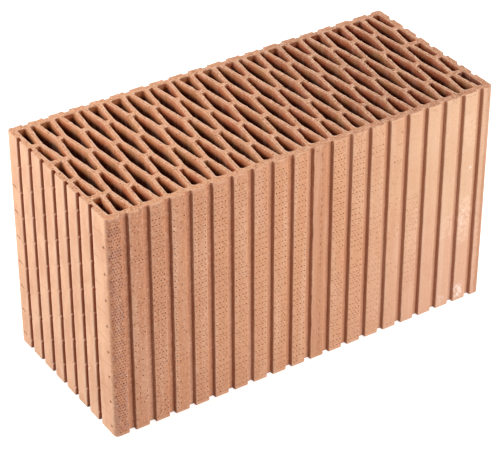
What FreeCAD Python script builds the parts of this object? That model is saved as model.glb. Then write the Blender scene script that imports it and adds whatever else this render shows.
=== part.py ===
import FreeCAD, Part
import math
import os

# Overall size of the fired block in millimetres: X along the long faces, Y across, Z up
length = 440.0
width = 190.0
height = 249.0
corner_radius = 5.0

# Upright grooves that leave flat ridges on all four outer faces
groove_width = 6.8
groove_depth = 4.3
groove_draft = 0.4
ridge_edge_radius = 1.2
long_face_pitch = 22.5
long_face_first_ridge = 16.0
end_face_pitch = 22.8
end_face_first_ridge = 19.0
least_last_ridge = 8.0

# Lens-shaped cells that run through the whole height in staggered columns
long_wall = 8.8
end_wall = 7.4
column_pitch = 13.1
target_row_pitch = 35.7
web_along_x = 4.8
tip_gap = 6.2
tip_width = 4.6
tip_bevel = 0.8
waist_radius = 30.0
half_cell_bevel = 1.0
least_end_cell_reach = 2.0


def sharp(x, y):
    """Outline corner without a break."""
    return (x, y, 0.0, False)


def bevelled(x, y, cut):
    """Outline corner with a small flat that starts at the given distance from it."""
    return (x, y, cut, False)


def rounded(x, y, radius):
    """Outline corner with a round."""
    return (x, y, radius, True)


def outline_wire(corners):
    """Closed wire through the corners; a bevel or round is limited to what its two sides can hold."""
    count = len(corners)
    points = [FreeCAD.Vector(corner[0], corner[1], 0.0) for corner in corners]
    edges = []
    leaving_points = []
    for index in range(count):
        x, y, size, is_round = corners[index]
        here = points[index]
        back = points[index - 1].sub(here)
        ahead = points[(index + 1) % count].sub(here)
        half_angle = back.getAngle(ahead) / 2.0
        wanted = size / math.tan(half_angle) if is_round else size
        reach = min(wanted, 0.45 * back.Length, 0.45 * ahead.Length)
        radius = reach * math.tan(half_angle)
        back.normalize()
        ahead.normalize()
        inward = back.add(ahead).normalize()
        arriving = here.add(back.multiply(reach))
        leaving = here.add(ahead.multiply(reach))
        if leaving_points:
            edges.append(Part.makeLine(leaving_points[-1], arriving))
        else:
            first_arriving = arriving
        if reach > 0.0 and is_round:
            middle = here.add(inward.multiply(radius / math.sin(half_angle) - radius))
            edges.append(Part.Arc(arriving, middle, leaving).toShape())
        elif reach > 0.0:
            edges.append(Part.makeLine(arriving, leaving))
        leaving_points.append(leaving)
    edges.append(Part.makeLine(leaving_points[-1], first_arriving))
    return Part.Wire(edges)


def groove_starts(face_length, first_ridge, pitch):
    """Distances from a face's reference corner to the near side of each groove."""
    room = face_length - first_ridge - groove_width - least_last_ridge
    count = int(room // pitch) + 1
    return [first_ridge + step * pitch for step in range(count)]


def grooved_side(corner, along, inward, starts):
    """Outline corners of one outer face, walked away from its reference corner."""

    def place(distance, depth):
        x = corner[0] + along[0] * distance + inward[0] * depth
        y = corner[1] + along[1] * distance + inward[1] * depth
        return (x, y)

    outline = []
    for start in starts:
        end = start + groove_width
        outline.append(rounded(*place(start, 0.0), ridge_edge_radius))
        outline.append(sharp(*place(start + groove_draft, groove_depth)))
        outline.append(sharp(*place(end - groove_draft, groove_depth)))
        outline.append(rounded(*place(end, 0.0), ridge_edge_radius))
    return outline


def block_outline():
    """Outer section of the block: four rounded corners with grooved faces between them."""
    half_length = length / 2.0
    half_width = width / 2.0
    long_starts = groove_starts(length, long_face_first_ridge, long_face_pitch)
    end_starts = groove_starts(width, end_face_first_ridge, end_face_pitch)
    front = grooved_side((-half_length, -half_width), (1, 0), (0, 1), long_starts)
    back = grooved_side((-half_length, half_width), (1, 0), (0, -1), long_starts)
    left = grooved_side((-half_length, half_width), (0, -1), (1, 0), end_starts)
    right = grooved_side((half_length, half_width), (0, -1), (-1, 0), end_starts)
    outline = [rounded(-half_length, -half_width, corner_radius)]
    outline += front
    outline.append(rounded(half_length, -half_width, corner_radius))
    outline += reversed(right)
    outline.append(rounded(half_length, half_width, corner_radius))
    outline += reversed(back)
    outline.append(rounded(-half_length, half_width, corner_radius))
    outline += left
    return outline_wire(outline)


# Rows of the cell lattice: whole rows fill the width between the two long walls
lattice_width = width - 2.0 * long_wall + tip_gap
row_count = max(2, round(lattice_width / target_row_pitch))
row_pitch = lattice_width / row_count

# Half widths of a cell: its tips are given, its waist leaves the stated web to the next column
half_tip = tip_width / 2.0
half_cell_length = row_pitch - tip_gap / 2.0
overlap = row_pitch / half_cell_length
half_waist = (column_pitch - web_along_x - overlap * half_tip) / (2.0 - overlap)
half_shoulder = half_waist - (half_waist - half_tip) * (tip_gap / 2.0) / half_cell_length

# Columns on each side of the middle one; the outermost is cut straight by the end wall
side_columns = int((length / 2.0 - end_wall - least_end_cell_reach) // column_pitch)


def row_line(row):
    """Y of a row line of the lattice, counted from the front wall."""
    return -width / 2.0 + long_wall - tip_gap / 2.0 + row * row_pitch


def is_waist(column, row):
    """True where a cell of this column is at its widest; it has a tip next to the other row lines."""
    return (column + row - row_count) % 2 == 0


def lens_cell(column, row):
    """Cell with its waist on a row line and a blunt tip towards each neighbouring row line."""
    x = column * column_pitch
    low = row_line(row - 1) + tip_gap / 2.0
    high = row_line(row + 1) - tip_gap / 2.0
    return outline_wire([
        bevelled(x - half_tip, low, tip_bevel),
        bevelled(x + half_tip, low, tip_bevel),
        rounded(x + half_waist, row_line(row), waist_radius),
        bevelled(x + half_tip, high, tip_bevel),
        bevelled(x - half_tip, high, tip_bevel),
        rounded(x - half_waist, row_line(row), waist_radius),
    ])


def half_cell(column, wall_row, inner_row):
    """Half lens that stands with its broad side on the front or the back wall."""
    x = column * column_pitch
    inward = inner_row - wall_row
    broad = row_line(wall_row) + inward * tip_gap / 2.0
    tip = row_line(inner_row) - inward * tip_gap / 2.0
    return outline_wire([
        bevelled(x - half_shoulder, broad, half_cell_bevel),
        bevelled(x + half_shoulder, broad, half_cell_bevel),
        bevelled(x + half_tip, tip, tip_bevel),
        bevelled(x - half_tip, tip, tip_bevel),
    ])


def end_cell(side, row):
    """Cell of an outermost column between two row lines, with its straight side on the end wall."""
    x = side * side_columns * column_pitch
    straight = side * (length / 2.0 - end_wall)
    low = row_line(row) + tip_gap / 2.0
    high = row_line(row + 1) - tip_gap / 2.0
    low_half = half_shoulder if is_waist(side_columns, row) else half_tip
    high_half = half_tip if is_waist(side_columns, row) else half_shoulder
    return outline_wire([
        bevelled(straight, low, half_cell_bevel),
        bevelled(x - side * low_half, low, half_cell_bevel),
        bevelled(x - side * high_half, high, half_cell_bevel),
        bevelled(straight, high, half_cell_bevel),
    ])


def cell_wires():
    """Every cell of the lattice."""
    wires = []
    for column in range(1 - side_columns, side_columns):
        for row in range(row_count + 1):
            if not is_waist(column, row):
                continue
            if row == 0:
                wires.append(half_cell(column, 0, 1))
            elif row == row_count:
                wires.append(half_cell(column, row_count, row_count - 1))
            else:
                wires.append(lens_cell(column, row))
    for side in (-1, 1):
        for row in range(row_count):
            wires.append(end_cell(side, row))
    return wires


def clay_block():
    """One extruded and wire-cut piece of fired clay standing on its lower bed face."""
    section = Part.makeFace([block_outline()] + cell_wires(), "Part::FaceMakerBullseye")
    return section.extrude(FreeCAD.Vector(0.0, 0.0, height))


os.makedirs("parts", exist_ok=True)
block = clay_block()
block.exportStep("parts/clay_block.step")
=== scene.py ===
import math
from collections import namedtuple

import bpy
import numpy as np
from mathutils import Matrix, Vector, noise
from mathutils.geometry import delaunay_2d_cdt


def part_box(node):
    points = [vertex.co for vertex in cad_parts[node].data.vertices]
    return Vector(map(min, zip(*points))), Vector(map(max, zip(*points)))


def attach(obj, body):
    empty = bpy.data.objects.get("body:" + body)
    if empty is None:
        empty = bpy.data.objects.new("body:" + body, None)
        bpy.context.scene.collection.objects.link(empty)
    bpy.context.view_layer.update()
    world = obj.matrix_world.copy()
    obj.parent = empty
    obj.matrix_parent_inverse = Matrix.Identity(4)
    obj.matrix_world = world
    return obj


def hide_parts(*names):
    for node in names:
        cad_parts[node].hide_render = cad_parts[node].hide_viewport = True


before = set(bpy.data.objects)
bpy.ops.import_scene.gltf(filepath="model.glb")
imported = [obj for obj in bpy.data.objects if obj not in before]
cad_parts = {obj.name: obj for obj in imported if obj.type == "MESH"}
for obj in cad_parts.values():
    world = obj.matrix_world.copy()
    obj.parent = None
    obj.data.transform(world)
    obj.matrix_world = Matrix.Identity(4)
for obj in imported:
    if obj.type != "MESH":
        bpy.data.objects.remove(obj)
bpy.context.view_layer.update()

# Sizes are in millimetres in the CAD frame; the finished mesh is scaled to metres
metre_per_mm = 0.001
box_low, box_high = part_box("clay_block")
length = (box_high.x - box_low.x) / metre_per_mm
width = (box_high.y - box_low.y) / metre_per_mm
height = (box_high.z - box_low.z) / metre_per_mm

# Outer faces, as in the part's source
corner_radius = 5.0
groove_width = 6.8
groove_depth = 4.3
groove_draft = 0.4
ridge_edge_radius = 1.2
long_face_pitch = 22.5
long_face_first_ridge = 16.0
end_face_pitch = 22.8
end_face_first_ridge = 19.0
least_last_ridge = 8.0

# Clay that the comb dragged over one edge of each groove of the left end
end_groove_lip = 1.1

# Cells, as in the part's source
long_wall = 8.8
end_wall = 7.4
column_pitch = 13.1
target_row_pitch = 35.7
web_along_x = 4.8
tip_gap = 6.2
tip_width = 4.6
tip_bevel = 0.8
waist_radius = 30.0
half_cell_bevel = 1.0
least_end_cell_reach = 2.0

# The die rounds the broad corners of the half cells a little more than the plain section
half_cell_round = 2.4

# Share of a side of an outline that the round or bevel of its corner may take up
most_corner_share = 0.45

# Fineness of the detailed skin
fine_level_step = 3.0
coarse_level_step = 24.0
end_level_step = 10.0
ridge_point_step = 4.0
coarse_ridge_point_step = 12.0
crumbly_step_share = 0.55
cell_point_step = 3.4
bed_point_step = 2.3
lower_rim_levels = (0.0, 0.8, 2.5)
upper_rim_depths = (6.0, 4.2, 2.6, 1.4, 0.6, 0.0)
first_plain_level = 3.0
plain_level_margin = 9.0
cell_level_depths = (0.0, 0.8, 2.5, 7.0, 20.0, 60.0)
lowest_cell_levels = (1.2, 0.0)
fill_jitter = 0.2
fill_room = 0.8
arc_pieces = {corner_radius: 6, ridge_edge_radius: 2, waist_radius: 3, half_cell_round: 3}
sharp_angle = math.radians(50.0)

# Outline directions with a greater cosine than this count as one
same_way = 0.95

# Rows of pin pricks on the front ridges; every second row is faint
prick_spacing = 3.75
first_ridge_prick_spacing = 2.95
prick_columns_margin = 2.0
first_ridge_columns_margin = 1.8
prick_row_step = 3.15
first_prick_row = 5.0
prick_rows_margin = 8.0
prick_stray = 0.6
prick_edge_gap = 0.1
prick_sides = 5
prick_turn = 6.28
# Painted shade on the ring of each prick, beside the painted shade in its hole
prick_rim_shade = 0.3

# Prick sizes as (least radius, spread of the radius, least depth, spread of the depth)
bold_prick = (0.70, 0.20, 0.9, 0.7)
faint_prick = (0.52, 0.20, 0.5, 0.4)
first_ridge_prick_radius = (0.78, 0.26)

# Share of pricks on each front ridge, counted from the left; 0 is a bare ridge
prick_strengths = (1.0, 0.4, 0.95, 0.30, 1.0, 1.0, 1.0, 1.0, 1.0, 1.0,
                   0.0, 1.0, 1.0, 0.8, 0.2, 0.9, 0.0, 0.0, 0.0, 0.0)
faint_row_share = 0.45
prick_patch_mean = 1.05
prick_patch_ridge_step = 9.0
# Ridges whose pricks carry less painted shade, and how much
faded_ridges = (14, 15, 16)
faded_prick_shade = 0.5
prick_stretches = {16: (40.0, 155.0)}

# Larger pits on the front as (x, z, radius, depth)
front_pits = (
    (-82.0, 162.0, 1.0, 1.8), (52.0, 162.0, 0.8, 1.4), (-162.0, 195.0, 0.9, 1.5),
    (-164.0, 22.0, 0.9, 1.5), (-15.0, 72.0, 0.8, 1.3), (53.0, 185.0, 0.8, 1.2),
    (154.5, 165.0, 0.7, 1.0),
)
front_pit_edge_gap = 0.4
pit_gap = 0.5

# Small holes torn by the wire near the upper edge of each front ridge
rim_pit_tries = 4
rim_pit_inset = 1.4
rim_pit_below_top = (1.7, 5.5)
rim_pit_radius = (0.45, 0.75)
rim_pit_depth = 1.2

# Column of pricks with raised burrs along the left edge of one front ridge
burred_ridge = 4
burr_step = 6.2
first_burr = 7.0
burr_rows_margin = 10.0
burr_inset = 1.5
burr_stray = 0.5
burr_radius = 0.95
burr_radius_spread = 0.3
burr_depth = 1.6
# Paleness of the burrs' rims: fresh crumbs and a painted highlight
burr_crumbs_and_highlight = 0.4

# Front ridges with a crumbling left edge, and how deep it crumbles there and elsewhere
crumbly_ridges = {4: 1.1, 11: 1.3}
usual_crumble = 0.55

# Shallow band along the left of one front ridge, with a row of scores along its border
banded_ridge = 11
band_share = 0.62
band_depth = 0.35
band_border = 1.0
band_score_count = 28
first_band_score = 6.0
band_score_step = 8.5
band_score_stray = 1.0
band_score_length = (4.0, 7.5)
band_score_depth = (0.3, 0.7)
# Painted shade in these scores
band_score_shade = 0.45

# Nicks on the left end, where a comb was drawn across the grooves
nick_count = 8
nick_step = 29.5
first_nick_odd = 216.0
first_nick_even = 229.5
lowest_nick_level = 4.0
nick_level_margin = 7.0
end_ridge_count = 8

# Rows of points at a nick, measured from its middle, in the near and far edge of a groove
near_nick_rows = (-1.8, -0.7, 0.4, 1.0)
far_nick_rows = (1.6, 2.4)
near_nick_depth = 1.8
far_nick_depth = 1.3
# Painted highlight in a nick of the near edge, as shares of its depth, and the share of a round that carries
# the nicks' painted highlight or shade
nick_highlight_shares = (0.2, 0.7)
painted_nick_share = 0.9

# Pin holes down the last ridge of the left end
pin_hole_y = -87.5
pin_hole_radius = 2.1
pin_hole_depth = 2.8

# Score lines across the ridges of the left end
score_point_step = 2.2
score_end_share = 0.4
faint_score_width = 0.5
faint_score_inset = 1.0
faint_score_slant = (-0.5, 0.8)
faint_score_depth = (0.05, 0.2)
# Painted shade in these lines, and in those of the last ridge
faint_score_shade = (0.3, 0.5)
last_ridge_score_shade = 0.6

# Short deep scores on the first ridge there, as ends measured along the ridge and from a nick
deep_score_ends = ((1.2, 2.6), (7.5, 1.6))
deep_score_stray = 0.8
deep_score_width = 1.2
deep_score_depth = 0.9
# Painted shade in these scores
deep_score_shade = 1.0

# Painted shade of the grooves: parts of a groove of the left end, and the walls on the hidden faces
end_floor_shade = 0.3
end_near_wall_shade = 0.4
end_far_wall_shade = 0.3
end_far_wall_rise = 1.6
plain_wall_shade = 0.7

# Grain and pits of the cut upper bed
bed_jitter = 0.38
bed_edge_gap = 0.8
bed_cell_gap_share = 1.5
bed_pit_count = 420
bed_pit_gap = 1.5
bed_pit_radius = (0.45, 0.9)
bed_pit_depth = (0.7, 1.6)
# Painted shade in the pits
bed_pit_shade = 0.9

# Paleness along the rims: crumbs that the wire dragged there, and a painted highlight on the rim edges, both
# most on the cells' trailing side
rim_band = 0.9
rim_band_shares = (0.8, 1.2)
trailing_way = -0.3
trailing_rim = 1.0
inner_trailing_rim = 0.5
plain_rim = 0.3

# Wear of the rims, which fades out over a small height
rim_wear_height = 2.0
least_rim_wear = 0.16
cell_wear_share = 0.6
sideways_wear_share = 0.7
lower_rim_wear = 0.25
lower_rim_height = 1.0

# Broken stretch of the upper front rim
broken_rim = (184.0, -89.0)
broken_rim_stretch = 2.0
broken_rim_reach = 4.5
broken_rim_core = 1.5
broken_rim_depth = 1.8
broken_rim_height = 3.0

FRONT, RIGHT, BACK, LEFT, CELL, TOP, BOTTOM = "front", "right", "back", "left", "cell", "top", "bottom"

# Share of a groove's depth that the wire's smear closes at the upper edge of each face
smear_shares = {FRONT: 0.35, LEFT: 0.3, BACK: 0.35, RIGHT: 0.35}
smear_height = 7.0
smear_reach = 3.4
full_smear_share = 0.3

# Noises as (seed, reach, strength, bias), and how far apart the seeds read them
noises = {
    "cell drift": (1, 16.0, 0.45, 0.0),
    "cell wall": (2, 14.0, 0.25, 1.0),
    "outer skin": (3, 24.0, 0.13, 1.0),
    "cut wave": (4, 9.0, 0.16, 1.0),
    "cut grain": (5, 2.6, 0.3, 1.0),
    "rough rim": (6, 5.0, 0.45, 0.25),
    "chips": (7, 13.0, 1.6, -0.25),
    "smear": (8, 12.0, 1.8, 0.0),
    "cell ripple": (11, 4.0, 0.24, 0.0),
    "edge crumble": (12, 4.0, 1.0, 0.15),
    "face crumble": (13, 3.0, 0.35, 0.2),
    "nicks": (14, 1.7, 0.35, 0.0),
    "prick patches": (15, 26.0, 0.7, 0.0),
}
seed_steps = (17.3, -5.1, 9.7)
cell_noise_step = 31.0

# The fired walls' unevenness is drawn out along the height
cell_upright_stretch = 5.0
outer_upright_stretch = 2.0
random = np.random.RandomState(7)

# Corner of a section outline, with its round or bevel and the kind of run that follows it
Corner = namedtuple("Corner", "x y size is_round side run number", defaults=(0.0, False, None, None, 0))

# Stretch of an outline: its points, and the direction to its left at each of them
Run = namedtuple("Run", "kind side number points left leads_to", defaults=(None,))


def smooth(value, start, end):
    """Smooth step from 0 at start to 1 at end."""
    share = min(1.0, max(0.0, (value - start) / (end - start)))
    return share * share * (3.0 - 2.0 * share)


def swing(name, x, y, z):
    """Smooth noise of this name at a place."""
    seed, reach, strength, bias = noises[name]
    place = [value / reach + step * seed for value, step in zip((x, y, z), seed_steps)]
    return strength * (noise.noise(Vector(place)) + bias)


def dent(name, x, y, z):
    """The same noise where it is above 0."""
    return max(0.0, swing(name, x, y, z))


def unit(vector):
    """The vector at a length of 1."""
    return vector / math.hypot(vector[0], vector[1])


def straight_run(kind, side, number, start, end, step):
    """Straight stretch cut into even pieces no longer than the step."""
    along = end - start
    count = max(1, math.ceil(math.hypot(along[0], along[1]) / step - 1e-6))
    points = [start + along * (place / count) for place in range(count + 1)]
    points[-1] = end
    left = unit(np.array((-along[1], along[0])))
    return Run(kind, side, number, points, [left] * (count + 1))


def round_run(corner, arriving, leaving, centre):
    """Arc of a rounded corner about its centre."""
    pieces = arc_pieces[corner.size]
    start = math.atan2(*(arriving - centre)[::-1])
    sweep = math.atan2(*(leaving - centre)[::-1]) - start
    sweep = (sweep + math.pi) % (2.0 * math.pi) - math.pi
    radius = math.hypot(*(arriving - centre))
    angles = [start + sweep * place / pieces for place in range(pieces + 1)]
    points = [centre + radius * np.array((math.cos(angle), math.sin(angle))) for angle in angles]
    points[0] = arriving
    points[-1] = leaving
    left = [unit(centre - point) for point in points]
    return Run("round", corner.side, corner.number, points, left, corner.run)


def corner_ends(before, corner, after):
    """Start, end and centre of a corner's round or bevel, and its reach along both sides."""
    place = np.array(corner[:2], float)
    back = np.array(before[:2], float) - place
    ahead = np.array(after[:2], float) - place
    back_length = math.hypot(*back)
    ahead_length = math.hypot(*ahead)
    cosine = np.dot(back, ahead) / (back_length * ahead_length)
    half_angle = math.acos(max(-1.0, min(1.0, cosine))) / 2.0
    wanted = corner.size / math.tan(half_angle) if corner.is_round else corner.size
    reach = min(wanted, most_corner_share * back_length, most_corner_share * ahead_length)
    centre = place + unit(unit(back) + unit(ahead)) * (reach / math.cos(half_angle))
    return place + unit(back) * reach, place + unit(ahead) * reach, centre, reach


def trace(corners, step):
    """Runs of a closed outline that turns left, with the rounds and bevels of its corners."""
    following = corners[1:] + corners[:1]
    ends = [corner_ends(corners[index - 1], *pair) for index, pair in enumerate(zip(corners, following))]
    runs = []
    for corner, (arriving, leaving, centre, reach), after in zip(corners, ends, ends[1:] + ends[:1]):
        if reach > 0.0 and corner.is_round:
            runs.append(round_run(corner, arriving, leaving, centre))
        elif reach > 0.0:
            runs.append(straight_run("bevel", corner.side, corner.number, arriving, leaving, step))
        runs.append(straight_run(corner.run, corner.side, corner.number, leaving, after[0], step))
    return runs


def groove_starts(face_length, first_ridge, pitch):
    """Distances from a face's reference corner to the near side of each groove."""
    room = face_length - first_ridge - groove_width - least_last_ridge
    return [first_ridge + step * pitch for step in range(int(room // pitch) + 1)]


def grooved_side(side, corner, along, inward, starts, lip=0.0):
    """Outline corners of one outer face from its reference corner on; a lip narrows its grooves."""
    corner, along, inward = (np.array(pair, float) for pair in (corner, along, inward))
    outline = []
    for number, start in enumerate(starts, 1):
        end = start + groove_width
        near_foot = corner + along * (start + lip + groove_draft) + inward * groove_depth
        far_foot = corner + along * (end - groove_draft) + inward * groove_depth
        outline += [
            Corner(*(corner + along * (start + lip)), ridge_edge_radius, True, side, "wall", number),
            Corner(*near_foot, 0.0, False, side, "floor", number),
            Corner(*far_foot, 0.0, False, side, "wall", number),
            Corner(*(corner + along * end), ridge_edge_radius, True, side, "ridge", number + 1),
        ]
    return outline


def turned_round(outline):
    """The same outline walked the other way, so that each corner leads to the run before it."""
    before = [("ridge", 1)] + [(corner.run, corner.number) for corner in outline[:-1]]
    turned = [corner._replace(run=run, number=number) for corner, (run, number) in zip(outline, before)]
    return turned[::-1]


def block_corner(x_side, y_side, side, number):
    """Rounded upright corner of the block, followed by a ridge of the given face."""
    return Corner(x_side * length / 2.0, y_side * width / 2.0, corner_radius, True, side, "ridge", number)


def block_outline():
    """Runs of the outer section; the first ridge takes in half of the near corner."""
    half_length = length / 2.0
    half_width = width / 2.0
    long_starts = groove_starts(length, long_face_first_ridge, long_face_pitch)
    end_starts = groove_starts(width, end_face_first_ridge, end_face_pitch)
    front = grooved_side(FRONT, (-half_length, -half_width), (1, 0), (0, 1), long_starts)
    back = grooved_side(BACK, (-half_length, half_width), (1, 0), (0, -1), long_starts)
    left = grooved_side(LEFT, (-half_length, half_width), (0, -1), (1, 0), end_starts, end_groove_lip)
    right = grooved_side(RIGHT, (half_length, half_width), (0, -1), (-1, 0), end_starts)
    outline = [block_corner(-1, -1, FRONT, 1)] + front
    outline += [block_corner(1, -1, RIGHT, len(end_starts) + 1)] + turned_round(right)
    outline += [block_corner(1, 1, BACK, len(long_starts) + 1)] + turned_round(back)
    outline += [block_corner(-1, 1, LEFT, 1)] + left
    near_corner, first_ridge, *others = trace(outline, ridge_point_step)
    middle = arc_pieces[corner_radius] // 2
    points = near_corner.points[middle:] + first_ridge.points[1:]
    ways = near_corner.left[middle:] + first_ridge.left[1:]
    half_corner = near_corner._replace(
        points=near_corner.points[:middle + 1],
        left=near_corner.left[:middle + 1],
    )
    return [half_corner, first_ridge._replace(points=points, left=ways)] + others


# Lattice of the cells, worked out as in the part's source
lattice_width = width - 2.0 * long_wall + tip_gap
row_count = max(2, round(lattice_width / target_row_pitch))
row_pitch = lattice_width / row_count
half_tip = tip_width / 2.0
half_cell_length = row_pitch - tip_gap / 2.0
overlap = row_pitch / half_cell_length
half_waist = (column_pitch - web_along_x - overlap * half_tip) / (2.0 - overlap)
half_shoulder = half_waist - (half_waist - half_tip) * (tip_gap / 2.0) / half_cell_length
side_columns = int((length / 2.0 - end_wall - least_end_cell_reach) // column_pitch)


def row_line(row):
    """Y of a row line of the lattice, counted from the front wall."""
    return -width / 2.0 + long_wall - tip_gap / 2.0 + row * row_pitch


def is_waist(column, row):
    """True where a cell of this column is at its widest."""
    return (column + row - row_count) % 2 == 0


def lens_cell(column, row):
    """Corners of a cell with its waist on a row line."""
    x = column * column_pitch
    low = row_line(row - 1) + tip_gap / 2.0
    high = row_line(row + 1) - tip_gap / 2.0
    return [
        Corner(x - half_tip, low, tip_bevel),
        Corner(x + half_tip, low, tip_bevel),
        Corner(x + half_waist, row_line(row), waist_radius, True),
        Corner(x + half_tip, high, tip_bevel),
        Corner(x - half_tip, high, tip_bevel),
        Corner(x - half_waist, row_line(row), waist_radius, True),
    ]


def half_cell(column, wall_row, inner_row):
    """Corners of a half lens with its broad side on the front or back wall."""
    x = column * column_pitch
    inward = inner_row - wall_row
    broad = row_line(wall_row) + inward * tip_gap / 2.0
    tip = row_line(inner_row) - inward * tip_gap / 2.0
    return [
        Corner(x - inward * half_shoulder, broad, half_cell_round, True),
        Corner(x + inward * half_shoulder, broad, half_cell_round, True),
        Corner(x + inward * half_tip, tip, tip_bevel),
        Corner(x - inward * half_tip, tip, tip_bevel),
    ]


def end_cell(side, row):
    """Corners of a cell with its straight side on an end wall."""
    x = side * side_columns * column_pitch
    straight = side * (length / 2.0 - end_wall)
    low = row_line(row) + tip_gap / 2.0
    high = row_line(row + 1) - tip_gap / 2.0
    low_half = half_shoulder if is_waist(side_columns, row) else half_tip
    high_half = half_tip if is_waist(side_columns, row) else half_shoulder
    places = ((straight, low), (straight, high), (x - side * high_half, high), (x - side * low_half, low))
    return [Corner(*place, half_cell_bevel) for place in places[::side]]


def all_cells():
    """Corners of every cell of the lattice."""
    cells = []
    for column in range(1 - side_columns, side_columns):
        for row in range(row_count + 1):
            if not is_waist(column, row):
                continue
            if row == 0:
                cells.append(half_cell(column, 0, 1))
            elif row == row_count:
                cells.append(half_cell(column, row_count, row_count - 1))
            else:
                cells.append(lens_cell(column, row))
    return cells + [end_cell(side, row) for side in (-1, 1) for row in range(row_count)]


class Skin:
    """Welded points and faces of the surface, with the way into the clay at each point."""

    def __init__(self):
        self.index = {}
        self.points = []
        self.sideways = []
        self.upright = []
        self.depth = []
        self.refill = []
        self.zone = []
        self.cut = {}
        self.marks = {name: [] for name in ("end", "painted_sunk_shade", "groove", "edge", "rim")}
        self.faces = []
        self.face_zone = []

    def add_point(self, place, zone, painted_sunk_shade):
        """New point at a place, with the painted shade of a prick on it."""
        self.points.append(place)
        self.sideways.append([])
        self.upright.append(0.0)
        self.depth.append(0.0)
        self.refill.append((0.0, 0.0))
        self.zone.append(zone)
        for values in self.marks.values():
            values.append(0.0)
        self.marks["end"][-1] = 1.0 if zone == LEFT else 0.0
        self.marks["painted_sunk_shade"][-1] = painted_sunk_shade

    def point(self, x, y, z, zone, sideways=None, upright=0.0, depth=0.0, refill=None, painted_sunk_shade=0.0):
        """Index of the point at this place, made if it is new."""
        key = (round(x, 4), round(y, 4), round(z, 4))
        found = self.index.setdefault(key, len(self.points))
        if found == len(self.points):
            self.add_point((x, y, z), zone, painted_sunk_shade)
        self.depth[found] = max(self.depth[found], depth)
        known = self.sideways[found]
        if sideways is not None and all(np.dot(sideways, other) < same_way for other in known):
            known.append(sideways)
        if upright:
            self.upright[found] = upright
        if refill is not None:
            self.refill[found] = refill
        return found

    def face(self, corners, zone):
        """Face between points that are already made."""
        self.faces.append(tuple(corners))
        self.face_zone.append(zone)

    def face_strip(self, rows, zone):
        """Four-sided faces between neighbouring rows of points."""
        for near, far in zip(rows, rows[1:]):
            for low in range(len(near) - 1):
                self.face((near[low], far[low], far[low + 1], near[low + 1]), zone)


class FlatFace:
    """Face laid out on the flat, with its points in the skin, its border edges and its holes."""

    def __init__(self, skin, zone):
        self.skin = skin
        self.zone = zone
        self.flat = []
        self.solid = []
        self.edges = []
        self.holes = []

    def keep(self, u, v, found):
        """Takes in a point of the skin at its place on the flat."""
        self.flat.append(Vector((u, v)))
        self.solid.append(found)

    def close_loop(self, first):
        """Joins the points from the given one on to a closed border."""
        members = list(range(first, len(self.flat)))
        self.edges.extend(zip(members, members[1:] + members[:1]))
        return members

    def add_triangles(self, turned=False):
        """Fits triangles between the points and adds those that aren't inside the holes."""
        result = delaunay_2d_cdt(self.flat, self.edges, [], 1, 1e-6)
        origin = [found[0] for found in result[3]]
        hole_of = {index: number for number, hole in enumerate(self.holes) for index in hole}
        for face in result[2]:
            corners = [origin[corner] for corner in face]
            holes = {hole_of.get(corner) for corner in corners}
            if len(holes) == 1 and None not in holes and follows_loop(corners):
                continue
            ordered = corners[::-1] if turned else corners
            self.skin.face([self.solid[corner] for corner in ordered], self.zone)


def follows_loop(corners):
    """True if a triangle's corners follow each other along their loop, so that it lies inside."""
    first, second, third = corners
    return (first < second) + (second < third) + (third < first) == 2


def groove_of(run):
    """Number of the groove that a run of the outline belongs to."""
    return run.number - 1 if run.leads_to == "ridge" else run.number


def nick_heights(number):
    """Heights of the nicks that cross a groove of the left end."""
    first = first_nick_odd if number % 2 else first_nick_even
    return [first - step * nick_step for step in range(nick_count)]


def levels_of(run):
    """Heights of the point rows along a run; the seen faces are finer."""
    rims = list(lower_rim_levels) + [height - depth for depth in upper_rim_depths]
    if run.side == LEFT:
        rises = near_nick_rows + far_nick_rows + (-end_level_step, end_level_step)
        between = [middle + rise for middle in nick_heights(groove_of(run)) for rise in rises]
        highest = height - nick_level_margin
        return sorted(rims + [level for level in between if lowest_nick_level < level < highest])
    step = fine_level_step if run.side == FRONT else coarse_level_step
    room = height - plain_level_margin
    count = round(room / step)
    return sorted(rims + [first_plain_level + room * place / count for place in range(1, count)])


def refill_of(side, x, y):
    """Vector from a point in a groove back out to the plane of the ridges."""
    if side in (FRONT, BACK):
        return (0.0, (-width / 2.0 if side == FRONT else width / 2.0) - y)
    return ((-length / 2.0 if side == LEFT else length / 2.0) - x, 0.0)


def nick_cut(run, level):
    """How far a slanting nick cuts back a ridge edge of the left end at this height."""
    middle = min(nick_heights(groove_of(run)), key=lambda nick: abs(level - nick))
    rise = level - middle
    if run.leads_to == "wall":
        start, halfway, deepest, end = near_nick_rows
        share = min((rise - start) / (deepest - start), (end - rise) / (end - deepest))
        return near_nick_depth * (1.0 + swing("nicks", run.number, middle, 0.0)) * max(0.0, share)
    deepest, end = far_nick_rows
    return far_nick_depth * max(0.0, 1.0 - abs(rise - deepest) / (end - deepest))


def edge_damage(run, x, y, level):
    """Depth of crumbling along the left edges of the front ridges."""
    if run.side != FRONT or run.leads_to != "ridge":
        return 0.0
    return crumbly_ridges.get(run.number, usual_crumble) * dent("edge crumble", x, y, level)


def groove_shade(run, left, share):
    """Share of painted shade at this share of a run: it grows towards the shaded wall of each groove."""
    if run.kind == "round" and groove_of(run) > 0 and run.leads_to == "ridge":
        return 1.0 - share if run.side == FRONT else max(0.0, 1.0 - 2.0 * share)
    if run.kind == "floor":
        return max(end_floor_shade, 1.0 - 2.0 * share) if run.side == LEFT else share
    if run.kind == "wall" and run.side == FRONT:
        return 1.0 if left[0] > 0.0 else 0.0
    if run.kind == "wall" and run.side == LEFT:
        is_far = left[1] > 0.0
        return min(1.0, end_far_wall_shade + end_far_wall_rise * share) if is_far else end_near_wall_shade
    return plain_wall_shade if run.kind == "wall" else 0.0


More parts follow.
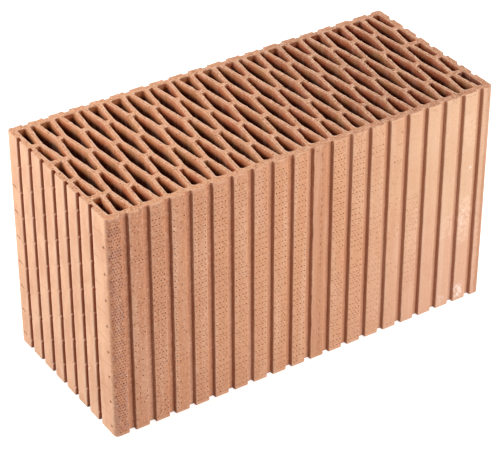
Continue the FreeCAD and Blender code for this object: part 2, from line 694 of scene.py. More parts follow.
def edge_highlight_share(run, share):
    """Painted highlight along a ridge edge: 1 where the round of a ridge edge meets the flat of a seen
    ridge.
    """
    if run.kind != "round" or run.side not in (FRONT, LEFT) or groove_of(run) == 0:
        return 0.0
    if run.leads_to == "ridge":
        return share
    return 1.0 - share if run.side == LEFT else 0.0


def mark_strip_point(skin, run, left, share, level, found):
    """Tints of a strip's point, with its painted highlight and painted groove shade, and its nick if it lies
    on a ridge edge of the left end, with a painted highlight in a near nick and painted shade in a far one.
    """
    marks = skin.marks
    marks["edge"][found] = edge_highlight_share(run, share)
    marks["groove"][found] = groove_shade(run, left, share)
    if run.kind == "round" and groove_of(run) == 0:
        marks["end"][found] = share if run.side == LEFT else 1.0 - share
    elif run.kind == "round" and run.side == LEFT and groove_of(run) < end_ridge_count:
        cut = nick_cut(run, level)
        skin.cut[found] = cut
        is_painted = share < painted_nick_share
        # Painted highlight in a near nick, painted shade in a far one
        if run.leads_to == "wall":
            highlight_from, highlight_to = (near_nick_depth * part for part in nick_highlight_shares)
            marks["rim"][found] = smooth(cut, highlight_from, highlight_to) if is_painted else 0.0
        elif is_painted:
            marks["groove"][found] = max(marks["groove"][found], cut / far_nick_depth)


def add_strip(skin, run, levels):
    """Upright strip of four-sided faces along a run of the outline."""
    rows = []
    for (x, y), left in zip(run.points, run.left):
        refill = refill_of(run.side, x, y) if run.kind in ("wall", "floor") else None
        share = len(rows) / (len(run.points) - 1)
        rows.append([])
        for level in levels:
            depth = edge_damage(run, x, y, level)
            found = skin.point(x, y, level, run.side, left, depth=depth, refill=refill)
            mark_strip_point(skin, run, left, share, level, found)
            rows[-1].append(found)
    skin.face_strip(rows, run.side)


def is_clear(u, v, room, others):
    """True if a place is further than the room from the rims of all the other pricks."""
    return all(math.hypot(u - other[0], v - other[1]) > room + other[2] for other in others)


def ring_around(u, v, radius):
    """Corners of a randomly turned ring around a place."""
    turn = random.uniform(0.0, prick_turn)
    angles = [turn + 2.0 * math.pi * corner / prick_sides for corner in range(prick_sides)]
    return [(u + radius * math.cos(angle), v + radius * math.sin(angle)) for angle in angles]


def prick_size(number, faint, size, sink):
    """Radius and depth of a pin prick from two random shares."""
    least_radius, more_radius, least_depth, more_depth = faint_prick if faint else bold_prick
    if number == 1:
        least_radius, more_radius = first_ridge_prick_radius
    return least_radius + more_radius * size, least_depth + more_depth * sink


def pricks_of(side, number, ridge_width):
    """Pin pricks on one ridge as (along, height, radius, depth)."""
    strength = prick_strengths[number - 1] if side == FRONT else 0.0
    if strength == 0.0:
        return []
    pricks = []
    low, high = prick_stretches.get(number, (0.0, height))
    spacing = first_ridge_prick_spacing if number == 1 else prick_spacing
    margin = first_ridge_columns_margin if number == 1 else prick_columns_margin
    columns = int((ridge_width - margin) / spacing) + 1
    for row in range(int((height - prick_rows_margin) / prick_row_step)):
        faint = row % 2 == 1
        count = columns - 1 if faint else columns
        row_strength = strength * (faint_row_share if faint and number > 1 else 1.0)
        for column in range(count):
            chance, shift, lift, size, sink = random.uniform(0.0, 1.0, 5)
            along = ridge_width / 2.0 + (column - (count - 1) / 2.0) * spacing + prick_stray * (shift - 0.5)
            up = first_prick_row + row * prick_row_step + prick_stray * (lift - 0.5)
            patch = prick_patch_mean + swing("prick patches", along, prick_patch_ridge_step * number, up)
            radius, depth = prick_size(number, faint, size, sink)
            room = radius + prick_edge_gap
            fits = low < up < high and room < along < ridge_width - room
            if fits and chance <= row_strength * patch:
                pricks.append((along, up, radius, depth))
    return pricks


def pits_of(run, start, ridge_width):
    """Larger pits of the front, and pin holes down the last ridge of the left end, on this ridge."""
    pits = []
    if run.side == FRONT:
        for x, z, radius, depth in front_pits:
            room = radius + front_pit_edge_gap
            if room < x - start[0] < ridge_width - room:
                pits.append((x - start[0], z, radius, depth))
        least = (rim_pit_inset, rim_pit_below_top[0], rim_pit_radius[0])
        most = (ridge_width - rim_pit_inset, rim_pit_below_top[1], rim_pit_radius[1])
        for u, below_top, radius in random.uniform(least, most, (rim_pit_tries, 3)):
            if is_clear(u, height - below_top, radius + pit_gap, pits):
                pits.append((u, height - below_top, radius, rim_pit_depth))
    if run.side == LEFT and run.number == end_ridge_count:
        for level in nick_heights(1):
            pits.append((start[1] - pin_hole_y, level, pin_hole_radius, pin_hole_depth))
    return pits


def burrs_of(run):
    """Pricks with burrs along the left edge of this ridge, in the same form as the others."""
    burrs = []
    if run.side == FRONT and run.number == burred_ridge:
        for row in range(int((height - burr_rows_margin) / burr_step)):
            shift, lift, size = random.uniform(-0.5, 0.5, 3)
            up = first_burr + row * burr_step + lift
            radius = burr_radius + burr_radius_spread * size
            burrs.append((burr_inset + burr_stray * shift, up, radius, burr_depth))
    return burrs


def faint_scores(number, ridge_width):
    """Faint lines across a ridge of the left end as (start, end, half width, depth, darkness of their
    painted shade).
    """
    scores = []
    for level in nick_heights(number):
        slant = random.uniform(*faint_score_slant)
        depth = random.uniform(*faint_score_depth)
        start = (faint_score_inset, level - slant)
        end = (ridge_width - faint_score_inset, level + slant)
        is_last = number == end_ridge_count
        darkness = last_ridge_score_shade if is_last else random.uniform(*faint_score_shade)
        scores.append((start, end, faint_score_width, depth, darkness))
    return scores


def deep_scores():
    """Short deep lines on the first ridge of the left end, in the same form."""
    scores = []
    for level in nick_heights(1)[1:]:
        stray = random.uniform(-deep_score_stray, deep_score_stray)
        start, end = [(along + stray, level + rise) for along, rise in deep_score_ends]
        scores.append((start, end, deep_score_width, deep_score_depth, deep_score_shade))
    return scores


def band_scores(ridge_width):
    """Upright lines along the border of the banded ridge, in the same form."""
    scores = []
    u = band_share * ridge_width
    for step in range(band_score_count):
        low = first_band_score + step * band_score_step + random.uniform(-band_score_stray, band_score_stray)
        high = low + random.uniform(*band_score_length)
        depth = random.uniform(*band_score_depth)
        scores.append(((u, low), (u, high), faint_score_width, depth, band_score_shade))
    return scores


def scores_of(run, ridge_width):
    """All score lines on this ridge; their ends are (along, height)."""
    if run.side == FRONT and run.number == banded_ridge:
        return band_scores(ridge_width)
    if run.side != LEFT:
        return []
    scores = faint_scores(run.number, ridge_width)
    return scores + deep_scores() if run.number == 1 else scores


def ridge_fill(ridge_width, taken, step):
    """Extra points that keep a ridge's triangles even, clear of its edges and pricks."""
    jitter = fill_jitter if step <= ridge_point_step else 0.0
    columns = max(1, round(ridge_width / step) - 1)
    rows = max(2, round(height / step))
    fill = []
    for column in range(1, columns + 1):
        for row in range(1, rows):
            shift, lift = random.uniform(-1.0, 1.0, 2) * jitter * step
            along = ridge_width * column / (columns + 1) + shift
            up = height * row / rows + lift
            if is_clear(along, up, fill_room, taken):
                fill.append((along, up))
    return fill


class RidgeFace(FlatFace):
    """Flat face of one ridge, laid out by the distance along it and the height."""

    def __init__(self, skin, run):
        super().__init__(skin, run.side)
        self.run = run
        self.points = np.array(run.points)
        self.left = np.array(run.left)
        steps = np.hypot(*np.diff(self.points, axis=0).T)
        self.along = np.concatenate(((0.0,), np.cumsum(steps)))
        self.width = self.along[-1]
        self.taken = []

    def between(self, u, values):
        """Pair of values at a distance along the ridge, from those at its outline points."""
        return np.array([np.interp(u, self.along, part) for part in values.T])

    def add_point(self, u, z, depth=0.0, place=None, painted_sunk_shade=0.0, rim=0.0):
        """Point of the ridge at this distance and height, sunk into the clay by the depth."""
        inward = unit(self.between(u, self.left))
        x, y = self.between(u, self.points) if place is None else place
        found = self.skin.point(x, y, z, self.zone, inward, depth=depth, painted_sunk_shade=painted_sunk_shade)
        rims = self.skin.marks["rim"]
        rims[found] = max(rims[found], rim)
        self.keep(u, z, found)

    def add_border(self, left_levels, right_levels):
        """Border points, which are shared with the neighbouring strips and the beds."""
        places = self.run.points
        for u, place in zip(self.along[:-1], places[:-1]):
            self.add_point(u, 0.0, place=place)
        for level in right_levels[:-1]:
            self.add_point(self.width, level, place=places[-1])
        for u, place in zip(self.along[:0:-1], places[:0:-1]):
            self.add_point(u, height, place=place)
        for level in left_levels[:0:-1]:
            self.add_point(0.0, level, place=places[0])
        self.close_loop(0)

    def add_pricks(self):
        """Pin pricks, pits and burrs, each as a ring around a sunk point, with painted shade in it and on
        its ring.
        """
        burrs = burrs_of(self.run)
        pits = pits_of(self.run, self.points[0], self.width) + burrs
        pricks = pricks_of(self.zone, self.run.number, self.width)
        self.taken = [prick for prick in pricks if is_clear(*prick[:2], prick[2] + pit_gap, pits)] + pits
        darkness = faded_prick_shade if self.run.number in faded_ridges else 1.0
        for prick in self.taken:
            u, z, radius, depth = prick
            rim = burr_crumbs_and_highlight if prick in burrs else 0.0
            for corner_u, corner_z in ring_around(u, z, radius):
                self.add_point(corner_u, corner_z, painted_sunk_shade=prick_rim_shade, rim=rim)
            self.add_point(u, z, depth=depth, painted_sunk_shade=darkness)

    def add_scores(self):
        """Score lines, each as a sunk row between two rows on the face, with painted shade along the row."""
        for (u0, z0), (u1, z1), half_width, depth, darkness in scores_of(self.run, self.width):
            count = max(2, round(math.hypot(u1 - u0, z1 - z0) / score_point_step))
            across = unit(np.array((z0 - z1, u1 - u0))) * half_width
            self.add_point(u0 - across[1], z0 + across[0])
            self.add_point(u1 + across[1], z1 - across[0])
            for place in range(count + 1):
                u = u0 + (u1 - u0) * place / count
                z = z0 + (z1 - z0) * place / count
                sunk = depth * (score_end_share if place in (0, count) else 1.0)
                self.add_point(u, z, depth=sunk, painted_sunk_shade=darkness)
                self.add_point(u + across[0], z + across[1])
                self.add_point(u - across[0], z - across[1])
                self.taken.append((u, z, half_width, depth))

    def add_fill(self):
        """Points between the rest, sunk where the face crumbles or has its shallow band."""
        is_crumbly = self.zone == FRONT and self.run.number in crumbly_ridges
        is_banded = is_crumbly and self.run.number == banded_ridge
        step = ridge_point_step if self.zone in (FRONT, LEFT) else coarse_ridge_point_step
        for u, z in ridge_fill(self.width, self.taken, crumbly_step_share * step if is_crumbly else step):
            sunk = 0.0
            if is_banded:
                sunk = band_depth if u < band_share * self.width - band_border else 0.0
            elif is_crumbly:
                sunk = dent("face crumble", u, 0.0, z)
            self.add_point(u, z, depth=sunk)


def add_ridge(skin, run, left_levels, right_levels):
    """Flat ridge face as a fitted triangle mesh with its pin pricks and scores sunk into it."""
    face = RidgeFace(skin, run)
    face.add_border(left_levels, right_levels)
    face.add_pricks()
    face.add_scores()
    face.add_fill()
    face.add_triangles()


def add_sides(skin, runs):
    """All four outer faces with their rounded corners."""
    levels = [levels_of(run) for run in runs]
    for index, run in enumerate(runs):
        if run.kind == "ridge":
            add_ridge(skin, run, levels[index - 1], levels[(index + 1) % len(runs)])
        else:
            add_strip(skin, run, levels[index])


def loop_of_runs(runs):
    """Closed list of the outline's points without repeats, with the way to the left at each."""
    points = [point for run in runs for point in run.points[:-1]]
    left = [way for run in runs for way in run.left[:-1]]
    return points, left


def wobbled(points, outward, number):
    """A cell's outline as the die really left it, a little out of true."""
    moved = []
    for (x, y), away in zip(points, outward):
        place = (x, y, cell_noise_step * number)
        moved.append((x, y) + away * (swing("cell drift", *place) + swing("cell ripple", *place)))
    return moved


def add_cells(skin):
    """Walls of all cells; returns each cell's outline and the way into the clay at its points."""
    levels = [height - depth for depth in cell_level_depths] + list(lowest_cell_levels)
    cells = []
    for number, corners in enumerate(all_cells()):
        points, left = loop_of_runs(trace(corners, cell_point_step))
        outward = [-way for way in left]
        points = wobbled(points, outward, number)
        cells.append((points, outward))
        rows = []
        for (x, y), away in zip(points, outward):
            rows.append([skin.point(x, y, level, CELL, away) for level in levels])
        skin.face_strip(rows + rows[:1], CELL)
    return cells


def distance_to_loop(places, loop):
    """Shortest distance from each place to a closed outline."""
    loop = np.array(loop)
    ahead = np.roll(loop, -1, axis=0) - loop
    long = np.maximum((ahead ** 2).sum(1), 1e-9)
    away = places[:, None, :] - loop[None, :, :]
    share = np.clip((away * ahead[None]).sum(2) / long[None], 0.0, 1.0)
    gap = away - share[:, :, None] * ahead[None]
    return np.sqrt((gap ** 2).sum(2)).min(1)


def inside_loop(places, loop):
    """True for each place inside a closed outline."""
    loop = np.array(loop)
    inside = np.zeros(len(places), bool)
    for a, b in zip(loop, np.roll(loop, -1, axis=0)):
        if a[1] == b[1]:
            continue
        across = (a[1] > places[:, 1]) != (b[1] > places[:, 1])
        crossing = a[0] + (b[0] - a[0]) * (places[:, 1] - a[1]) / (b[1] - a[1])
        inside ^= across & (places[:, 0] < crossing)
    return inside


def bed_fill(outline, cells):
    """Scattered points between the cells that carry the grain of the cut."""
    columns = np.linspace(-0.5, 0.5, round(length / bed_point_step)) * length
    rows = np.linspace(-0.5, 0.5, round(width / bed_point_step)) * width
    grid_x, grid_y = np.meshgrid(columns, rows)
    places = np.stack((grid_x.ravel(), grid_y.ravel()), axis=1)
    places += random.uniform(-bed_jitter, bed_jitter, places.shape) * bed_point_step
    places = places[inside_loop(places, outline)]
    places = places[distance_to_loop(places, outline) > bed_edge_gap]
    cell_gap = bed_cell_gap_share * rim_band
    for cell, outward in cells:
        low = np.min(cell, axis=0) - 2.0 * rim_band
        high = np.max(cell, axis=0) + 2.0 * rim_band
        near = ((places > low) & (places < high)).all(1)
        drop = np.zeros(len(places), bool)
        drop[near] = inside_loop(places[near], cell) | (distance_to_loop(places[near], cell) < cell_gap)
        places = places[~drop]
    return places


def is_trailing(away):
    """True on the side of a cell where the wire left its crumbs and where the rim gets its painted
    highlight.
    """
    return away[0] < trailing_way


class BedFace(FlatFace):
    """One bed face between the outline and the cells."""

    def __init__(self, skin, zone, outline, cells):
        super().__init__(skin, zone)
        self.level = height if zone == TOP else 0.0
        self.into = -1.0 if zone == TOP else 1.0
        self.outline = outline
        self.cells = cells

    def add_point(self, place, sunk=0.0, painted_sunk_shade=0.0, rim=0.0):
        """Point of the bed at this place, sunk into the clay by the depth."""
        x, y = place
        found = self.skin.point(x, y, self.level, self.zone, upright=self.into, depth=sunk, painted_sunk_shade=painted_sunk_shade)
        self.skin.marks["rim"][found] = rim
        self.keep(x, y, found)

    def add_loop(self, points, rims):
        """Closed border with the paleness of its rim at each point."""
        first = len(self.flat)
        for place, rim in zip(points, rims):
            self.add_point(place, rim=rim)
        return self.close_loop(first)

    def add_borders(self):
        """Border of the bed and of all its cells."""
        self.add_loop(self.outline, [plain_rim] * len(self.outline))
        for points, outward in self.cells:
            rims = [trailing_rim if is_trailing(away) else plain_rim for away in outward]
            self.holes.append(self.add_loop(points, rims))

    def add_rim_bands(self):
        """Second row of points around each cell, where the dragged crumbs and the painted highlight end."""
        for points, outward in self.cells:
            for place, away in zip(points, outward):
                rim = inner_trailing_rim if is_trailing(away) else 0.0
                self.add_point(place + away * rim_band * random.uniform(*rim_band_shares), rim=rim)

    def add_pit(self, place):
        """Small torn pit as a ring around a sunk point, with painted shade in it and on its ring."""
        radius = random.uniform(*bed_pit_radius)
        for corner in ring_around(*place, radius):
            self.add_point(corner, painted_sunk_shade=prick_rim_shade)
        self.add_point(place, sunk=random.uniform(*bed_pit_depth), painted_sunk_shade=bed_pit_shade)

    def add_grain(self):
        """Scattered points and pits of the cut."""
        fill = bed_fill(self.outline, self.cells)
        pits = fill[random.choice(len(fill), bed_pit_count, replace=False)]
        for place in fill:
            if np.hypot(*(pits - place).T).min() > bed_pit_gap:
                self.add_point(place)
        for place in pits:
            self.add_pit(place)


def add_beds(skin, outline, cells):
    """Both bed faces; the upper one has the grain of the cut."""
    upper = BedFace(skin, TOP, outline, cells)
    upper.add_borders()
    upper.add_rim_bands()
    upper.add_grain()
    upper.add_triangles()
    lower = BedFace(skin, BOTTOM, outline, cells)
    lower.add_borders()
    lower.add_triangles(turned=True)


def wall_unevenness(zone, x, y, z):
    """How far a wall lies inside its true face."""
    if zone == CELL:
        return swing("cell wall", x, y, z / cell_upright_stretch)
    return swing("outer skin", x, y, z / outer_upright_stretch)


def broken_drop(x, y, below_top):
    """How far the broken stretch of the upper front rim has sunk."""
    away = math.hypot((x - broken_rim[0]) / broken_rim_stretch, y - broken_rim[1])
    bite = smooth(away, broken_rim_reach, broken_rim_core)
    return broken_rim_depth * bite * max(0.0, 1.0 - below_top / broken_rim_height)


def rim_wear(zone, x, y, z):
    """Wear of the upper rims at this place."""
    fading = max(0.0, 1.0 - (height - z) / rim_wear_height)
    wear = least_rim_wear + dent("rough rim", x, y, z) + dent("chips", x, y, z)
    return wear * fading * (cell_wear_share if zone == CELL else 1.0)


def smear_share(zone, x, y, below_top):
    """Share of a groove's depth that the wire's smear closes at this place."""
    if zone not in smear_shares or below_top >= smear_height:
        return 0.0
    reach = smear_reach + swing("smear", x, y, 0.0)
    return smear_shares[zone] * smooth(below_top, reach, full_smear_share * reach)


def worn_place(skin, index):
    """Final place of a point: moved into the clay by wear, or out by the wire's smear."""
    x, y, z = skin.points[index]
    zone = skin.zone[index]
    ways = skin.sideways[index]
    is_upper_bed = skin.upright[index] < 0.0
    inward = wall_unevenness(zone, x, y, z)
    drop = broken_drop(x, y, height - z)
    if is_upper_bed:
        drop += swing("cut wave", x, y, 0.0) + swing("cut grain", x, y, 0.0) + skin.depth[index]
    if ways:
        wear = rim_wear(zone, x, y, z)
        inward += sideways_wear_share * wear + lower_rim_wear * max(0.0, 1.0 - z / lower_rim_height)
        drop += wear if is_upper_bed else 0.0
    if not skin.upright[index]:
        inward += skin.depth[index]
    fill = smear_share(zone, x, y, height - z)
    refill_x, refill_y = skin.refill[index]
    new_x = x + sum(way[0] for way in ways) * inward + refill_x * fill + skin.cut.get(index, 0.0)
    new_y = y + sum(way[1] for way in ways) * inward + refill_y * fill
    return new_x, new_y, z - drop if skin.upright[index] <= 0.0 else z


def build_block_mesh():
    """The whole detailed skin as one welded mesh in metres, with its zones and marks as attributes."""
    skin = Skin()
    runs = block_outline()
    add_sides(skin, runs)
    add_beds(skin, loop_of_runs(runs)[0], add_cells(skin))
    places = np.array([worn_place(skin, index) for index in range(len(skin.points))])
    mesh = bpy.data.meshes.new("clay_block_skin")
    mesh.from_pydata(places * metre_per_mm, [], skin.faces)
    mesh.polygons.foreach_set("use_smooth", [True] * len(mesh.polygons))
    mesh.set_sharp_from_angle(angle=sharp_angle)
    for name, zones in (("front", (FRONT,)), ("cell", (CELL,)), ("bed", (TOP, BOTTOM))):
        layer = mesh.attributes.new(name, "FLOAT", "FACE")
        layer.data.foreach_set("value", [1.0 if zone in zones else 0.0 for zone in skin.face_zone])
    for name, values in skin.marks.items():
        layer = mesh.attributes.new(name, "FLOAT", "POINT")
        layer.data.foreach_set("value", values)
    mesh.validate()
    return mesh


class Nodes:
    """Short calls for the nodes of one material."""

    def __init__(self, tree):
        self.tree = tree

    def add(self, kind, **settings):
        """New node with these settings."""
        node = self.tree.nodes.new(kind)
        for name, value in settings.items():
            setattr(node, name, value)
        return node

    def join(self, source, target):
        """Links a socket, or sets a plain value."""
        if isinstance(source, bpy.types.NodeSocket):
            self.tree.links.new(source, target)
        else:
            target.default_value = source

    def math(self, operation, a, b=0.0):
        """Result of a sum on two values."""
        node = self.add("ShaderNodeMath", operation=operation)
        self.join(a, node.inputs[0])
        self.join(b, node.inputs[1])
        return node.outputs[0]

    def product(self, first, *others):
        """Product of all the values."""
        total = first
        for value in others:
            total = self.math("MULTIPLY", total, value)
        return total

    def rise(self, value, start, end, low=0.0, high=1.0):
        """Smooth step of a value between two numbers."""
        node = self.add("ShaderNodeMapRange", interpolation_type="SMOOTHSTEP")
        ends = {"Value": value, "From Min": start, "From Max": end, "To Min": low, "To Max": high}
        for name, number in ends.items():
            self.join(number, node.inputs[name])
        return node.outputs["Result"]

    def band(self, value, low, high, soft):
        """1 between two numbers and 0 outside, with soft borders."""
        return self.product(self.rise(value, low, low + soft), self.rise(value, high, high - soft))

    def mix(self, share, a, b):
        """Colour between two colours."""
        node = self.add("ShaderNodeMix", data_type="RGBA")
        self.join(share, node.inputs["Factor"])
        for value, name in ((a, "A_Color"), (b, "B_Color")):
            socket = next(item for item in node.inputs if item.identifier == name)
            self.join((*value, 1.0) if isinstance(value, tuple) else value, socket)
        return next(item for item in node.outputs if item.identifier == "Result_Color")

    def noise(self, place, scale, detail, roughness, stretch):
        """Noise texture, which a stretch below 1 draws out along an axis."""
        mapping = self.add("ShaderNodeMapping")
        self.join(place, mapping.inputs["Vector"])
        mapping.inputs["Scale"].default_value = stretch
        node = self.add("ShaderNodeTexNoise")
        self.join(mapping.outputs["Vector"], node.inputs["Vector"])
        node.inputs["Scale"].default_value = scale
        node.inputs["Detail"].default_value = detail
        node.inputs["Roughness"].default_value = roughness
        return node.outputs["Fac"]

    def split(self, place):
        """The three parts of a place."""
        node = self.add("ShaderNodeSeparateXYZ")
        self.join(place, node.inputs[0])
        return tuple(node.outputs)

    def object_place(self):
        """Place on the object in metres."""
        return self.add("ShaderNodeTexCoord").outputs["Object"]

    def seen_directly(self):
        """1 for rays that show the surroundings, 0 for rays that carry light to the block."""
        path = self.add("ShaderNodeLightPath")
        shown = self.math("MAXIMUM", path.outputs["Is Camera Ray"], path.outputs["Is Glossy Ray"])
        return self.math("MAXIMUM", shown, path.outputs["Is Transmission Ray"])


# Colours of the fired clay, as linear values
front_left_clay = (0.472, 0.203, 0.107)
front_middle_clay = (0.573, 0.272, 0.147)
front_right_clay = (0.672, 0.405, 0.255)
low_right_clay = (0.655, 0.365, 0.240)
end_pink_clay = (0.76, 0.405, 0.248)
end_cream_clay = (0.86, 0.500, 0.315)
left_cut_clay = (0.59, 0.276, 0.145)
right_cut_clay = (0.38, 0.166, 0.089)
# Pale crumbs and sand of the cut, also the painted highlight along the rims
crumb_and_highlight_clay = (0.80, 0.560, 0.405)
left_cell_clay = (0.58, 0.225, 0.094)
right_cell_clay = (0.38, 0.103, 0.040)
red_cell_clay = (0.50, 0.135, 0.056)
olive_cell_clay = (0.40, 0.190, 0.068)
# Painted shade for the deep insides of the cells and for the pores
painted_shade_clay = (0.075, 0.011, 0.003)
# Painted shade in the grooves of all outer faces, and deeper on the seen wall of each groove of the left end
painted_groove_shade_clay = (0.385, 0.151, 0.078)
painted_end_groove_shade_clay = (0.38, 0.085, 0.022)
hidden_clay = (0.68, 0.350, 0.205)
# Painted shade in the pricks, pits, pin holes and score lines
painted_sunk_shade_clay = (0.16, 0.036, 0.014)
# Pale grain of the clay, also used as the painted highlight along the ridge edges
pale_grain_and_highlight = (0.86, 0.640, 0.500)
bloom_clay = (0.86, 0.610, 0.450)
stain_clay = (0.88, 0.720, 0.630)
mottle_clay = (0.36, 0.160, 0.115)
dark_grain = (0.30, 0.120, 0.065)
broken_cell_clay = (0.23, 0.068, 0.036)

# Noises of the clay as (scale for each metre, detail, roughness, stretch)
even = (1.0, 1.0, 1.0)
clay_noises = {
    "blotches": (14.0, 3.0, 0.55, even),
    "smudges": (34.0, 3.0, 0.60, (1.0, 1.0, 0.35)),
    "firing": (48.0, 3.0, 0.60, even),
    "clouds": (60.0, 4.0, 0.60, (1.0, 1.0, 0.5)),
    "ragged": (110.0, 4.0, 0.65, even),
    "mottle": (120.0, 3.0, 0.55, even),
    "streaks": (150.0, 3.0, 0.55, (1.0, 1.0, 0.05)),
    "worn": (260.0, 4.0, 0.70, even),
    "sandy skin": (380.0, 2.0, 0.60, even),
    "specks": (420.0, 1.0, 0.55, even),
    "grit": (520.0, 3.0, 0.60, even),
    "sand": (560.0, 2.0, 0.60, even),
    "grain": (900.0, 2.0, 0.70, even),
}

# Tints laid over a colour as (noise, the noise's range and the share at both its ends, tint)
cut_tints = (
    ("blotches", (0.35, 0.65, 0.0, 0.3), front_middle_clay),
    ("sand", (0.55, 0.70, 0.0, 0.65), crumb_and_highlight_clay),
    ("sand", (0.46, 0.30, 0.0, 0.65), dark_grain),
)
sandy_tints = (
    ("sandy skin", (0.54, 0.72, 0.0, 0.30), pale_grain_and_highlight),
    ("sandy skin", (0.46, 0.28, 0.0, 0.45), dark_grain),
)
cell_tints = (
    ("firing", (0.52, 0.63, 0.0, 0.7), red_cell_clay),
    ("firing", (0.48, 0.37, 0.0, 0.7), olive_cell_clay),
)
grain_tints = (
    ("streaks", (0.45, 0.75, 0.0, 0.16), pale_grain_and_highlight),
    ("grain", (0.52, 0.75, 0.0, 0.35), pale_grain_and_highlight),
)

# Ranges of single noises and marks in the same form; without shares they run from 0 to 1
mottle_range = (0.42, 0.62, 0.0, 0.5)
cloud_range = (0.36, 0.64)
worn_range = (0.38, 0.60)
rim_crumb_and_highlight_range = (0.35, 0.6, 0.35, 0.95)
speck_range = (0.62, 0.72)
polish_range = (0.30, 0.70, 0.84, 0.96)
# Painted shade of the pores
pore_shade_range = (0.11, 0.07, 0.0, 0.85)
# Range of the painted shade in the pricks, pits and scores
sunk_shade_range = (0.36, 0.6, 0.0, 0.9)
# Painted highlight along the ridge edges, stronger on the left end
edge_highlight_by_end = (0.0, 1.0, 0.13, 0.3)
speck_by_bed = (0.0, 1.0, 0.18, 0.6)
grit_by_bed = (0.0, 1.0, 0.1, 1.6)

# How far noise shifts the borders between tones, in metres
blotch_drift = 0.16
smudge_drift = 0.30
ragged_drift = 0.02

# Stretches of the block over which a tone sets in, in metres and in the same form
left_to_middle_x = (-0.24, 0.0)
middle_to_right_x = (0.0, 0.20)
low_to_high_z = (0.06, 0.15)
mottled_x = (-0.203, -0.206)
sandy_x = (-0.215, 0.12, 1.0, 0.0)
right_end_x = (0.215, 0.219)
back_y = (0.0860, 0.0895)
cut_x = (-0.14, 0.15)
cell_x = (-0.12, 0.20)
broken_cell_x = (0.2030, 0.2040)
broken_cell_y = (-0.0540, -0.0560, 0.0, 0.8)
cut_lip_depth = (0.0, 0.003)
# Depth below the bed over which painted shade takes over the cell walls
cell_shade_depth = (0.0046, 0.0106)

# Strength of the painted shade in the front grooves, size of the pores, relief and gloss of the surface
groove_shade_strength = 0.7
pore_scale = 120.0
grain_relief = 0.5
streak_relief = 0.6
bump_strength = 0.5
bump_distance = 0.0008
bed_roughness = 0.95
specular_level = 0.2

# Pale bloom on the right of the front as (low x, high x, low z, high z, strength), in metres
bloom_patches = (
    (0.183, 0.205, 0.070, 0.135, 0.50),
    (0.183, 0.205, 0.182, 0.230, 0.25),
    (0.160, 0.182, 0.082, 0.116, 0.30),
    (0.207, 0.230, 0.010, 0.128, 0.20),
)

# White stains on the same ridges, given in the same way
stain_patches = (
    (0.186, 0.196, 0.001, 0.024, 0.85),
    (0.1955, 0.1985, 0.1595, 0.1625, 0.90),
    (0.188, 0.192, 0.090, 0.118, 0.35),
    (0.163, 0.172, 0.001, 0.016, 0.30),
)

# Front ridges in a darker tone as (low x, high x, strength), in metres
dark_ridges = ((0.0053, 0.0210, 0.60), (0.2078, 0.2200, 0.24))

# Soft borders of these patches: in metres across, and as a share of their height
patch_border = 0.001
patch_border_share = 0.15


class ClayNodes(Nodes):
    """Nodes of the clay's material, with its noises and the mesh's marks each made once."""

    def __init__(self, tree):
        super().__init__(tree)
        self.place = self.object_place()
        self.x, self.y, self.z = self.split(self.place)
        self.made = {}

    def texture(self, name):
        """Noise of this name."""
        if name not in self.made:
            self.made[name] = self.noise(self.place, *clay_noises[name])
        return self.made[name]

    def mark(self, name):
        """Zone or mark of this name on the mesh."""
        if name not in self.made:
            self.made[name] = self.add("ShaderNodeAttribute", attribute_name=name).outputs["Fac"]
        return self.made[name]

    def drifted(self, value, name, reach):
        """Value shifted to and fro by a noise."""
        return self.math("ADD", value, self.product(self.math("SUBTRACT", self.texture(name), 0.5), reach))

    def tinted(self, colour, tints, share=1.0):
        """Colour with tints laid over it."""
        for name, span, tint in tints:
            colour = self.mix(self.product(share, self.rise(self.texture(name), *span)), colour, tint)
        return colour


def dark_share(n):
    """Share of the darker tone on single ridges of the front face."""
    total = 0.0
    for low_x, high_x, strength in dark_ridges:
        total = n.math("MAXIMUM", total, n.product(n.band(n.x, low_x, high_x, patch_border), strength))
    return n.product(total, n.mark("front"))


def patch_share(n, patches):
    """Share of a pale tone in patches with ragged borders on the front face."""
    x = n.drifted(n.x, "ragged", ragged_drift)
    z = n.drifted(n.z, "ragged", ragged_drift)
    total = 0.0
    for low_x, high_x, low_z, high_z, strength in patches:
        across = n.band(x, low_x, high_x, patch_border)
        upright = n.band(z, low_z, high_z, patch_border_share * (high_z - low_z))
        total = n.math("MAXIMUM", total, n.product(across, upright, strength))
    return n.product(total, n.rise(n.texture("worn"), *worn_range), n.mark("front"))


def front_skin(n):
    """Skin of the front face, paler towards the right, with its darker and paler patches."""
    x = n.drifted(n.x, "blotches", blotch_drift)
    z = n.drifted(n.z, "smudges", smudge_drift)
    skin = n.mix(n.rise(x, *left_to_middle_x), front_left_clay, front_middle_clay)
    right_skin = n.mix(n.rise(z, *low_to_high_z), low_right_clay, front_right_clay)
    skin = n.mix(n.rise(x, *middle_to_right_x), skin, right_skin)
    mottled = n.product(n.rise(n.x, *mottled_x), n.rise(n.texture("mottle"), *mottle_range))
    skin = n.mix(mottled, skin, mottle_clay)
    skin = n.mix(dark_share(n), skin, front_left_clay)
    skin = n.mix(patch_share(n, bloom_patches), skin, bloom_clay)
    return n.mix(patch_share(n, stain_patches), skin, stain_clay)


